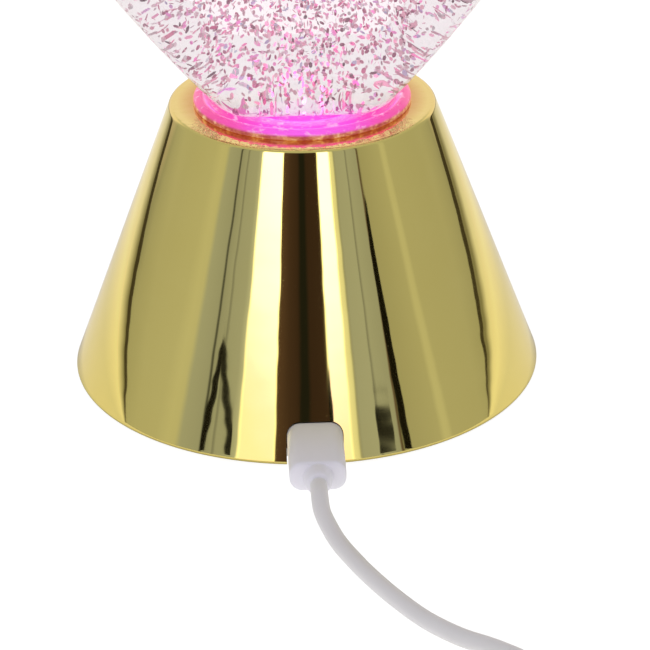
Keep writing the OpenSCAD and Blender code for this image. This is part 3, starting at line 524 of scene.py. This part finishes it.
def heartOutline():
    tilt = math.radians(heart["flank"])
    lobe, low = heart["lobe"], heart["low"]
    lobeX = heart["width"] / 2 - lobe
    flankX = heart["root"] / 2 + (low - cone["height"]) * math.tan(tilt)
    cornerX = flankX - heart["corner"] * (1 - math.sin(tilt)) / math.cos(tilt)
    lobeZ = low + ((lobeX - flankX) * math.cos(tilt) + lobe) / math.sin(tilt)
    cleftZ = lobeZ + math.sqrt((lobe + heart["cleft"]) ** 2 - lobeX ** 2)
    turn = math.degrees(math.atan2(cleftZ - lobeZ, -lobeX))
    # the flank is a wide arc that runs smoothly into the corner and the lobe
    a, b = Vector((cornerX, low + heart["corner"])), Vector((lobeX, lobeZ))
    near, far, span = heart["bow"] - heart["corner"], heart["bow"] - lobe, (b - a).length
    way = (b - a) / span
    run = (near ** 2 - far ** 2) / (2 * span) + span / 2
    hub = a + run * way + math.sqrt(near ** 2 - run ** 2) * Vector((-way.y, way.x))
    start, stop = (math.degrees(math.atan2(*(spot - hub).yx)) for spot in (a, b))
    corner = arc(a, heart["corner"], -90, start, 12)
    flank = arc(hub, heart["bow"], start, stop, 10)
    crown = arc(b, lobe, stop, turn, 56)
    notch = arc((0, cleftZ), heart["cleft"], turn - 180, -90, 10)
    foot = [(corner[0][0] * i / 4, low) for i in range(1, 4)]
    half = foot + corner + flank[1:-1] + crown + notch[1:-1]
    middle = low + heart["middle"] * (lobeZ + lobe - low)
    return [(0, low)] + half + [(0, cleftZ - heart["cleft"])] + [(-x, z) for x, z in reversed(half)], middle


def heartSkin(inset):
    outline, middle = heartOutline()
    n, rings, power = len(outline), heart["rings"], 2 / heart["bulge"]
    pole = heart["lobe"] * heart["pole"]
    verts = []
    for k in range(1 - rings, rings):
        turn = math.pi / 2 * abs(k) / rings
        s, out = math.cos(turn) ** power, math.sin(turn) ** power
        y = math.copysign(1, k) * (heart["depth"] / 2 - inset) * out
        for x, z in outline:
            long = math.hypot(x, z - middle)
            reach = s * ((long - inset) * s + pole * (1 - s)) / long
            verts.append((x * reach * mm, y * mm, (middle + (z - middle) * reach) * mm))
    last = len(verts)
    verts += [(0, y * mm, middle * mm) for y in (inset - heart["depth"] / 2, heart["depth"] / 2 - inset)]
    faces = bands(2 * rings - 1, n)
    for i in range(n):
        j = (i + 1) % n
        faces += [(i, last, j), (last - n + i, last - n + j, last + 1)]
    return verts, faces


def outward(verts, faces):
    volume = 0
    for f in faces:
        for a, b in zip(f[1:], f[2:]):
            volume += Vector(verts[f[0]]).dot(Vector(verts[a]).cross(Vector(verts[b])))
    return volume > 0


def makeHeart():
    outer, outerFaces = heartSkin(0)
    inner, innerFaces = heartSkin(heart["wall"])
    if not outward(outer, outerFaces):
        outerFaces = [f[::-1] for f in outerFaces]
    if outward(inner, innerFaces):
        innerFaces = [f[::-1] for f in innerFaces]
    shift = len(outer)
    faces = outerFaces + [tuple(i + shift for i in f) for f in innerFaces]
    slots = [0] * len(outerFaces) + [1] * len(innerFaces)
    return addMesh("heartShell", outer + inner, faces, [clearAcrylic, liquidFace], slots=slots)


heartShell = makeHeart()
print("heart shell made, %d faces" % len(heartShell.data.polygons))

# glitter: thin hexagonal flakes scattered through the liquid, and more of them settled low down
flakes = {"radius": 0.53, "thick": 0.06, "smallest": (0.75, 0.42, 1), "largest": (1.3, 0.8, 1), "inset": 3.6,
          "sides": 6, "turn": 6.283, "thinning": 1.6, "voxel": 0.001}
clouds = {"driftingGlitter": {"density": 31.0, "top": 1.0, "low": 0.0, "seed": 12},
          "settledGlitter": {"density": 46.0, "top": 0.12, "low": 0.06, "seed": 21}}


def scatterTree():
    tree = bpy.data.node_groups.new("scatterFlakes", "GeometryNodeTree")
    sides = {"Room": "Geometry", "Flake Radius": "Float", "Flake Thickness": "Float", "Density": "Float",
             "Smallest": "Vector", "Largest": "Vector", "Top": "Float", "Low": "Float", "Seed": "Int"}
    keys = {name: tree.interface.new_socket(name, in_out="INPUT", socket_type="NodeSocket" + kind).identifier
            for name, kind in sides.items()}
    tree.interface.new_socket("Flakes", in_out="OUTPUT", socket_type="NodeSocketGeometry")
    kit = NodeKit(tree)
    source = tree.nodes.new("NodeGroupInput")
    given = {name: Wire(kit, source.outputs[name]) for name in sides}
    seed = given["Seed"]

    def randomShare(shift):
        return kit.add("FunctionNodeRandomValue", {"data_type": "FLOAT"}, {2: 0.0, 3: 1.0, "Seed": seed + shift}, out=1)

    def randomVector(low, high, draw):
        return kit.add("FunctionNodeRandomValue", {"data_type": "FLOAT_VECTOR"}, {0: low, 1: high, "Seed": draw})

    room = kit.add("GeometryNodeMeshToVolume", {"resolution_mode": "VOXEL_SIZE"},
                   {"Mesh": given["Room"], "Voxel Size": flakes["voxel"], "Interior Band Width": flakes["voxel"]})
    points = kit.add("GeometryNodeDistributePointsInVolume", {},
                     {"Volume": room, "Density": given["Density"], "Seed": seed})
    # fewer flakes towards the top of the cloud
    height = kit.split(kit.add("GeometryNodeInputPosition"))[2]
    share = (given["Top"] - height) / (given["Top"] - given["Low"])
    left = randomShare(3).math("GREATER_THAN", share.math("MAXIMUM", 0) ** flakes["thinning"])
    kept = kit.add("GeometryNodeDeleteGeometry", {"domain": "POINT"}, {"Geometry": points, "Selection": left})
    flake = kit.add("GeometryNodeMeshCone", {"fill_type": "NGON"},
                    {"Vertices": flakes["sides"], "Radius Top": 0.0, "Radius Bottom": given["Flake Radius"],
                     "Depth": given["Flake Thickness"]})
    turn = randomVector((0, 0, 0), (flakes["turn"],) * 3, seed)
    size = randomVector(given["Smallest"], given["Largest"], seed + 1)
    tone = randomShare(2)
    spread = kit.add("GeometryNodeInstanceOnPoints", {},
                     {"Points": kept, "Instance": flake, "Rotation": turn, "Scale": size})
    toned = kit.add("GeometryNodeStoreNamedAttribute", {"data_type": "FLOAT", "domain": "INSTANCE"},
                    {"Geometry": spread, "Name": "flakeTone", "Value": tone})
    real = kit.add("GeometryNodeRealizeInstances", {}, {"Geometry": toned})
    foil = kit.add("GeometryNodeSetMaterial", {}, {"Geometry": real, "Material": glitterFoil})
    kit.add("NodeGroupOutput", {}, {0: foil})
    return tree, keys


def makeGlitter():
    verts, faces = heartSkin(flakes["inset"])
    if not outward(verts, faces):
        faces = [f[::-1] for f in faces]
    tree, keys = scatterTree()
    made = []
    for name, cloud in clouds.items():
        piece = addMesh(name, verts, faces, [glitterFoil])
        scatter = piece.modifiers.new("scatter", "NODES")
        scatter.node_group = tree
        values = {"Flake Radius": flakes["radius"] * mm, "Flake Thickness": flakes["thick"] * mm,
                  "Density": cloud["density"] * 1e6, "Smallest": flakes["smallest"], "Largest": flakes["largest"],
                  "Top": cloud["top"], "Low": cloud["low"], "Seed": cloud["seed"]}
        for key, value in values.items():
            scatter[keys[key]] = value
        made.append(plainMesh(piece))
        print("%s made, %d faces" % (name, len(piece.data.polygons)))
    return made


driftingGlitter, settledGlitter = makeGlitter()

# clear neck below the heart
neck = {"outer": 15, "inner": 12.5, "bottom": 46.2, "top": 59.45, "shoulder": 17, "shoulderLow": 58.6,
        "shoulderTop": 60.05, "turns": 96, "sharp": 40}


def makeNeck():
    outer, inner, shoulder = neck["outer"], neck["inner"], neck["shoulder"]
    profile = [(inner, neck["bottom"]), (outer, neck["bottom"]), (outer, neck["shoulderLow"]),
               (shoulder, neck["shoulderLow"]), (shoulder, neck["shoulderTop"]), (outer, neck["shoulderTop"]),
               (inner, neck["top"])]
    piece = lathe("vesselNeck", profile, [litCollar], neck["turns"])
    sharpen(piece, neck["sharp"])
    return piece


vesselNeck = makeNeck()

# plugs at both ends of the cord, rounded over the last stretch to their near and far ends
charger = {"x": -8, "y": -186, "z": 3.9, "width": 15.6, "height": 7.8, "length": 21, "corner": 2.4, "boot": 4,
           "ends": (1.4, 0.5), "sharp": 50}


def rounded(size):
    long, (near, far) = size["length"], size["ends"]
    steps = [(0, near), (near * 0.3, near * 0.29), (near, 0), (long - far, 0), (long - far * 0.62, far * 0.08),
             (long - far * 0.3, far * 0.29), (long - far * 0.08, far * 0.62), (long, far)]
    return [(at, size["width"] - 2 * cut, size["height"] - 2 * cut, max(size["corner"] - cut * 0.6, 0.4))
            for at, cut in steps]


def lampPlace(at, x, z):
    return (x * mm, (plugFace - at) * mm, (plug["middle"] + z) * mm)


def chargerPlace(at, y, z):
    return ((charger["x"] - at) * mm, (charger["y"] + y) * mm, (charger["z"] + z) * mm)


lampPlug = loft("lampPlug", rounded(plug), lampPlace, [whiteVinyl])
chargerPlug = loft("chargerPlug", rounded(charger), chargerPlace, [whiteVinyl])
for housing, size in ((lampPlug, plug), (chargerPlug, charger)):
    sharpen(housing, size["sharp"])

# strain reliefs: (share of the length, share of the radius) of their rings, with a softened end
boot = {"wide": 2.9, "narrow": 2.55, "turns": 40, "tip": 0.02, "sharp": 40,
        "rings": [(0, 0.0), (0, 1), (0.3, 1), (0.6, 1), (0.78, 0.985), (0.9, 0.945), (0.97, 0.89), (1, 0.83), (1, 0.0)]}


def makeBoot(name, length, start, stop, place):
    angles = [2 * math.pi * i / boot["turns"] for i in range(boot["turns"])]
    verts = []
    for t, share in boot["rings"]:
        radius = max((start + (stop - start) * t) * share, boot["tip"])
        verts += [place(t * length, radius * math.cos(a), radius * math.sin(a)) for a in angles]
    obj = tube(name, verts, boot["turns"], [whiteVinyl])
    sharpen(obj, boot["sharp"])
    return obj


lampBoot = makeBoot("lampBoot", plug["boot"], boot["wide"], boot["narrow"],
                    lambda at, x, z: (x * mm, (plugEnd - at) * mm, (plug["middle"] + z) * mm))
chargerBoot = makeBoot("chargerBoot", charger["boot"], boot["narrow"], boot["wide"],
                       lambda at, y, z: chargerPlace(at - charger["boot"], y, z))

# hook-and-loop tie round the coil, with softened edges
tie = {"inner": 9.1625, "outer": 26.53, "high": 8.3, "thick": 0.5, "width": 6, "corner": 1.6, "cornerSteps": 6,
       "softWide": 0.4, "softThick": 0.15, "sharp": 60}


def makeTie():
    cx, cy = lead["middle"]
    mid, thick, wide = cx - (tie["inner"] + tie["outer"]) / 2, tie["thick"], tie["width"]
    across, high = tie["outer"] - tie["inner"] + 2 * thick, tie["high"] + thick
    a, b = tie["softWide"], tie["softThick"]
    loop = roundedLoop(across, high, tie["corner"], tie["cornerSteps"])
    section = [(0, a), (0, wide - a), (b, wide), (thick - b, wide),
               (thick, wide - a), (thick, a), (thick - b, 0), (b, 0)]
    verts = []
    for i, (x, z) in enumerate(loop):
        lastX, lastZ = loop[i - 1]
        nextX, nextZ = loop[(i + 1) % len(loop)]
        long = math.hypot(nextX - lastX, nextZ - lastZ)
        outX, outZ = (nextZ - lastZ) / long, (lastX - nextX) / long
        verts += [((mid + x - outX * inset) * mm, (cy - wide / 2 + y) * mm, (high / 2 + z - outZ * inset) * mm)
                  for inset, y in section]
    obj = addMesh("cordTie", verts, bands(len(loop), len(section), closed=True), [strapCloth])
    faceOut(obj)
    sharpen(obj, tie["sharp"])
    return obj


cordTie = makeTie()
print("cord pieces made")

# finishes of the solids that stay
nodeFinish = [
    (plainSteel, ["base_screws", "stirrer_magnets", "stirrer_clip", "drive_magnets", "motor_shaft", "motor_can",
                  "motor_screws", "tower_screws", "led_screws", "usb_socket", "usb_screws", "switch_screws",
                  "lamp_plug_shell", "charger_plug_shell"]),
    (whiteMoulding, ["base_plate", "motor_tower", "charger_plug_tongue"]),
    (blackMoulding, ["switch_body", "switch_slider"]),
    (blackRubber, ["rubber_feet", "plug_seal"]),
    (naturalNylon, ["neck_nut", "drive_disc"]),
    (litNylon, ["vessel_plug", "stirrer"]),
    (boardWhite, ["led_board"]),
    (boardGreen, ["usb_board"]),
    (ledResin, ["leds"]),
    (redWire, ["supply_wires"]),
    (blackWire, ["motor_wires", "switch_wires"])]
for mat, names in nodeFinish:
    for name in names:
        for slot in nodes[name].material_slots:
            slot.link = "OBJECT"
            slot.material = mat

# pieces on their bodies: piece, body, slot and the nodes that it stands for
pieces = [(baseCone, "lamp", "gold", ["base_cone"]),
          (lightCollar, "lamp", "pink_clear", ["light_collar"]),
          (heartShell, "lamp", "clear", ["heart_front", "heart_rear"]),
          (driftingGlitter, "lamp", "liquid", ["glitter_liquid"]),
          (settledGlitter, "lamp", "liquid", ["glitter_liquid"]),
          (vesselNeck, "lamp", "clear", ["vessel_neck"]),
          (lampPlug, "lead", "white_pvc", ["lamp_plug_housing"]),
          (lampBoot, "lead", "white_pvc", ["lamp_plug_boot"]),
          (usbCord, "lead", "white_pvc", ["cord_lead", "cord_coil", "cord_tail"]),
          (cordTie, "lead", "strap", ["cord_tie"]),
          (chargerBoot, "lead", "white_pvc", ["charger_plug_boot"]),
          (chargerPlug, "lead", "white_pvc", ["charger_plug_housing"])]
for piece, body, slot, replaced in pieces:
    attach(piece, body)
    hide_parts(*replaced)
plugFace * mm

# pale floor: a white sheet with a shaded strip and a dark edge to each side, which show as fine lines in the gold.
# glow is the light that it throws up round the lamp, painted on by the distance from the middle, with none close round
# the lamp's foot as a painted contact shadow
sheet = {"left": -0.215, "right": 0.27, "shade": {"left": 0.055, "right": 0.11}, "edge": {"left": 0.08, "right": 0.16},
         "soft": 0.09, "front": -0.7, "back": 0.7, "paper": "dcdcda", "shaded": "a3a092", "dark": "524c42",
         "glow": [(0.0485, (0, 0, 0)), (0.054, (0.36, 0.33, 0.3)), (0.1, (0.3, 0.275, 0.25)),
                  (0.17, (0.46, 0.42, 0.37)), (0.42, (0, 0, 0))],
         "seen": {"white": (0.35, 0.35, 0.35, 1), "light": 0.9}}


def paperShader(kit, colour, light, strength):
    matt = kit.add("ShaderNodeBsdfDiffuse", {}, {"Color": colour})
    lit = kit.add("ShaderNodeEmission", {}, {"Color": light, "Strength": strength})
    return kit.add("ShaderNodeAddShader", {}, {0: matt, 1: lit})


def makeFloor():
    mat = bpy.data.materials.new("paleFloor")
    mat.use_nodes = True
    mat.node_tree.nodes.clear()
    kit = NodeKit(mat.node_tree)
    x, y, _ = kit.split(kit.where())
    left, right, soft = sheet["left"], sheet["right"], sheet["soft"]
    leftEdge, rightEdge = left - sheet["shade"]["left"], right + sheet["shade"]["right"]
    shade = ((x - right) / soft + 0.5).math("MAXIMUM", (left - x) / soft + 0.5).clamped()
    dark = x.math("GREATER_THAN", rightEdge) + x.math("LESS_THAN", leftEdge)
    tone = kit.blend(dark, kit.blend(shade, rgba(sheet["paper"]), rgba(sheet["shaded"])), rgba(sheet["dark"]))
    # painted light round the lamp, with a painted contact shadow at its foot
    glowing = kit.blend(shade, kit.ramp((x * x + y * y) ** 0.5, sheet["glow"]), (0, 0, 0, 1))
    paper = paperShader(kit, tone, glowing, 1)
    white = paperShader(kit, sheet["seen"]["white"], (1, 1, 1, 1), sheet["seen"]["light"])
    # seen directly, through glass or as fill light it is plain white
    direct, through, fill = kit.outs("ShaderNodeLightPath", ["Is Camera Ray", "Is Transmission Ray", "Is Diffuse Ray"])
    bright = direct.math("MAXIMUM", through).math("MAXIMUM", fill)
    mixed = kit.add("ShaderNodeMixShader", {}, {0: bright, 1: paper, 2: white})
    kit.add("ShaderNodeOutputMaterial", {}, {"Surface": mixed})
    x0, x1 = leftEdge - sheet["edge"]["left"], rightEdge + sheet["edge"]["right"]
    corners = [(x0, sheet["front"], 0), (x1, sheet["front"], 0), (x1, sheet["back"], 0), (x0, sheet["back"], 0)]
    return addMesh("studioFloor", corners, [(0, 1, 2, 3)], [mat], smooth=False)


floor = makeFloor()

# studio: soft white overhead and behind, upright panels and dark gaps in front that the gold mirrors.
# left and right are (angle from the front, level, tint), heights are the upward part of a ray's direction
tints = {"plain": (1, 1, 1), "cool": (0.95, 1.02, 1.35), "brown": (0.98, 0.56, 0.54), "rose": (1, 0.87, 0.89),
         "cream": (1.02, 1, 0.9)}
studio = {"turn": 1.6, "low": 0.36, "high": 0.62, "roof": 0.5, "under": 0.6, "horizon": -0.15, "haze": 0.012,
          "left": [(-180, 0.89, "rose"), (-135, 0.89, "rose"), (-126, 0.47, "plain"), (-100, 0.46, "plain"),
                   (-76, 0.49, "plain"), (-69, 0.54, "plain"), (-65, 0.53, "plain"), (-62, 0.4, "cool"),
                   (-53.2, 0.36, "cool"), (-52.4, 0.33, "cool"), (-52, 0.08, "cool"), (-51.2, 0.08, "cool"),
                   (-50.7, 0.33, "cool"), (-46, 0.38, "cool"), (-45.6, 0.2, "cool"), (-45.2, 0.2, "cool"),
                   (-44.8, 0.38, "cool"), (-37, 0.4, "cool"), (-34.2, 0.52, "cool"), (-32.8, 2.8, "cream"),
                   (-16.4, 2.8, "cream"), (-15.6, 0.1, "brown"), (-10, 0.06, "brown"), (-5, 0.045, "brown"),
                   (-3, 0.014, "plain"), (0, 0.014, "plain")],
          "right": [(0, 0.014, "plain"), (2, 0.04, "brown"), (10.5, 0.045, "brown"), (11.8, 2.8, "cream"),
                    (20.2, 2.8, "cream"), (21.3, 0.9, "plain"), (23.8, 0.8, "plain"), (25, 0.2, "cool"),
                    (25.4, 0.4, "cool"), (34.2, 0.42, "cool"), (34.5, 0.2, "cool"), (34.9, 0.2, "cool"),
                    (35.3, 0.4, "cool"), (43.6, 0.36, "cool"), (44.2, 0.12, "brown"), (45.2, 0.12, "plain"),
                    (45.8, 0.37, "plain"), (56, 0.41, "plain"), (64, 0.44, "plain"), (66.5, 0.54, "plain"),
                    (69, 0.53, "plain"), (71, 0.45, "plain"), (100, 0.43, "plain"), (126, 0.45, "plain"),
                    (135, 0.89, "rose"), (180, 0.89, "rose")],
          # panels above the least level, more so over the span, are whiter high up and warmer low down
          "bright": {"least": 0.9, "span": 1.9},
          "fade": [(0.2, (0.48, 0.41, 0.54)), (0.225, (0.52, 0.43, 0.72)), (0.255, (0.66, 0.6, 1.06)),
                   (0.3, (1, 1, 1.36))],
          # all of them grow dim towards the floor, with heights counted from -0.2
          "dimFrom": 0.2, "dim": [(0.08, (0.5, 0.5, 0.46)), (0.15, (0.85, 0.85, 0.82)), (0.22, (1, 1, 1))],
          # narrow dark arms of the stands, low in front: (angle, height) of both ends and half the width
          "arms": [((-47.2, 0.188), (-51.4, 0.148), 0.011), ((-46.8, 0.194), (-37, 0.183), 0.0065),
                   ((34, 0.193), (41, 0.177), 0.009), ((45.4, 0.226), (48.2, 0.13), 0.026),
                   ((11.2, 0.226), (12.6, 0.2), 0.018)],
          "arm": (0.008, 0.007, 0.006, 1)}


def panelStops(side, start):
    return [((angle - start) / 180, tuple(level * c for c in tints[tint])) for angle, level, tint in studio[side]]


def makeStudio():
    world = bpy.data.worlds.new("studio")
    world.use_nodes = True
    scene.world = world
    world.node_tree.nodes.clear()
    sky = NodeKit(world.node_tree)
    rayX, rayY, rayZ = sky.split(sky.add("ShaderNodeTexCoord", out="Generated"))
    turn = rayX.math("ARCTAN2", -rayY) / math.pi + studio["turn"] / 180        # -1 to 1 round the lamp, 0 in front

    def rise(low, high):
        return sky.add("ShaderNodeMapRange", {"interpolation_type": "SMOOTHSTEP"},
                       {0: rayZ, 1: low, 2: high, 3: 0.0, 4: 1.0})

    panels = sky.blend(turn.math("GREATER_THAN", 0), sky.ramp(turn + 1, panelStops("left", -180)),
                       sky.ramp(turn, panelStops("right", 0)))
    bright = (panels - studio["bright"]["least"]) / studio["bright"]["span"]
    panels = sky.blend(bright, panels, sky.ramp(rayZ, studio["fade"]), "MULTIPLY")
    panels = sky.blend(1, panels, sky.ramp(rayZ + studio["dimFrom"], studio["dim"]), "MULTIPLY")
    for (angle, high), (farAngle, low), half in studio["arms"]:
        wide, tall = math.radians(farAngle - angle), low - high
        x, z = turn * math.pi - math.radians(angle), rayZ - high
        along = ((x * wide + z * tall) / (wide * wide + tall * tall)).clamped()
        gap = ((x - along * wide) ** 2 + (z - along * tall) ** 2) ** 0.5
        panels = sky.blend(gap.math("LESS_THAN", half), panels, studio["arm"])
    ground = rise(studio["horizon"] - studio["haze"], studio["horizon"] + studio["haze"])
    under, roof = ((level, level, level, 1) for level in (studio["under"], studio["roof"]))
    light = sky.blend(rise(studio["low"], studio["high"]), sky.blend(ground, under, panels), roof)
    # seen directly or through glass it is plain white
    direct, through = sky.outs("ShaderNodeLightPath", ["Is Camera Ray", "Is Transmission Ray"])
    colour = sky.blend(direct.math("MAXIMUM", through), light, (1, 1, 1, 1))
    back = sky.add("ShaderNodeBackground", {}, {"Color": colour, "Strength": 1.0})
    sky.add("ShaderNodeOutputWorld", {}, {"Surface": back})
    scene.view_settings.view_transform = "Standard"


makeStudio()

# soft light overhead that only the matt pieces take up, and the pink lamp under the heart
lamps = {"overhead": {"kind": "AREA", "place": (0.1, -0.3, 1.1), "colour": (1, 1, 1), "power": 2.3, "size": 1.4},
         "heartGlow": {"kind": "POINT", "place": (0, 0, 0.0672), "colour": (1.0, 0.22, 0.62), "power": 0.012,
                       "size": 0.004}}
for name, lamp in lamps.items():
    data = bpy.data.lights.new(name, lamp["kind"])
    data.color, data.energy = lamp["colour"], lamp["power"]
    setattr(data, "size" if lamp["kind"] == "AREA" else "shadow_soft_size", lamp["size"])
    bulb = bpy.data.objects.new(name, data)
    bulb.location = lamp["place"]
    bulb.visible_glossy = bulb.visible_transmission = bulb.visible_camera = False
    scene.collection.objects.link(bulb)
print("studio made")
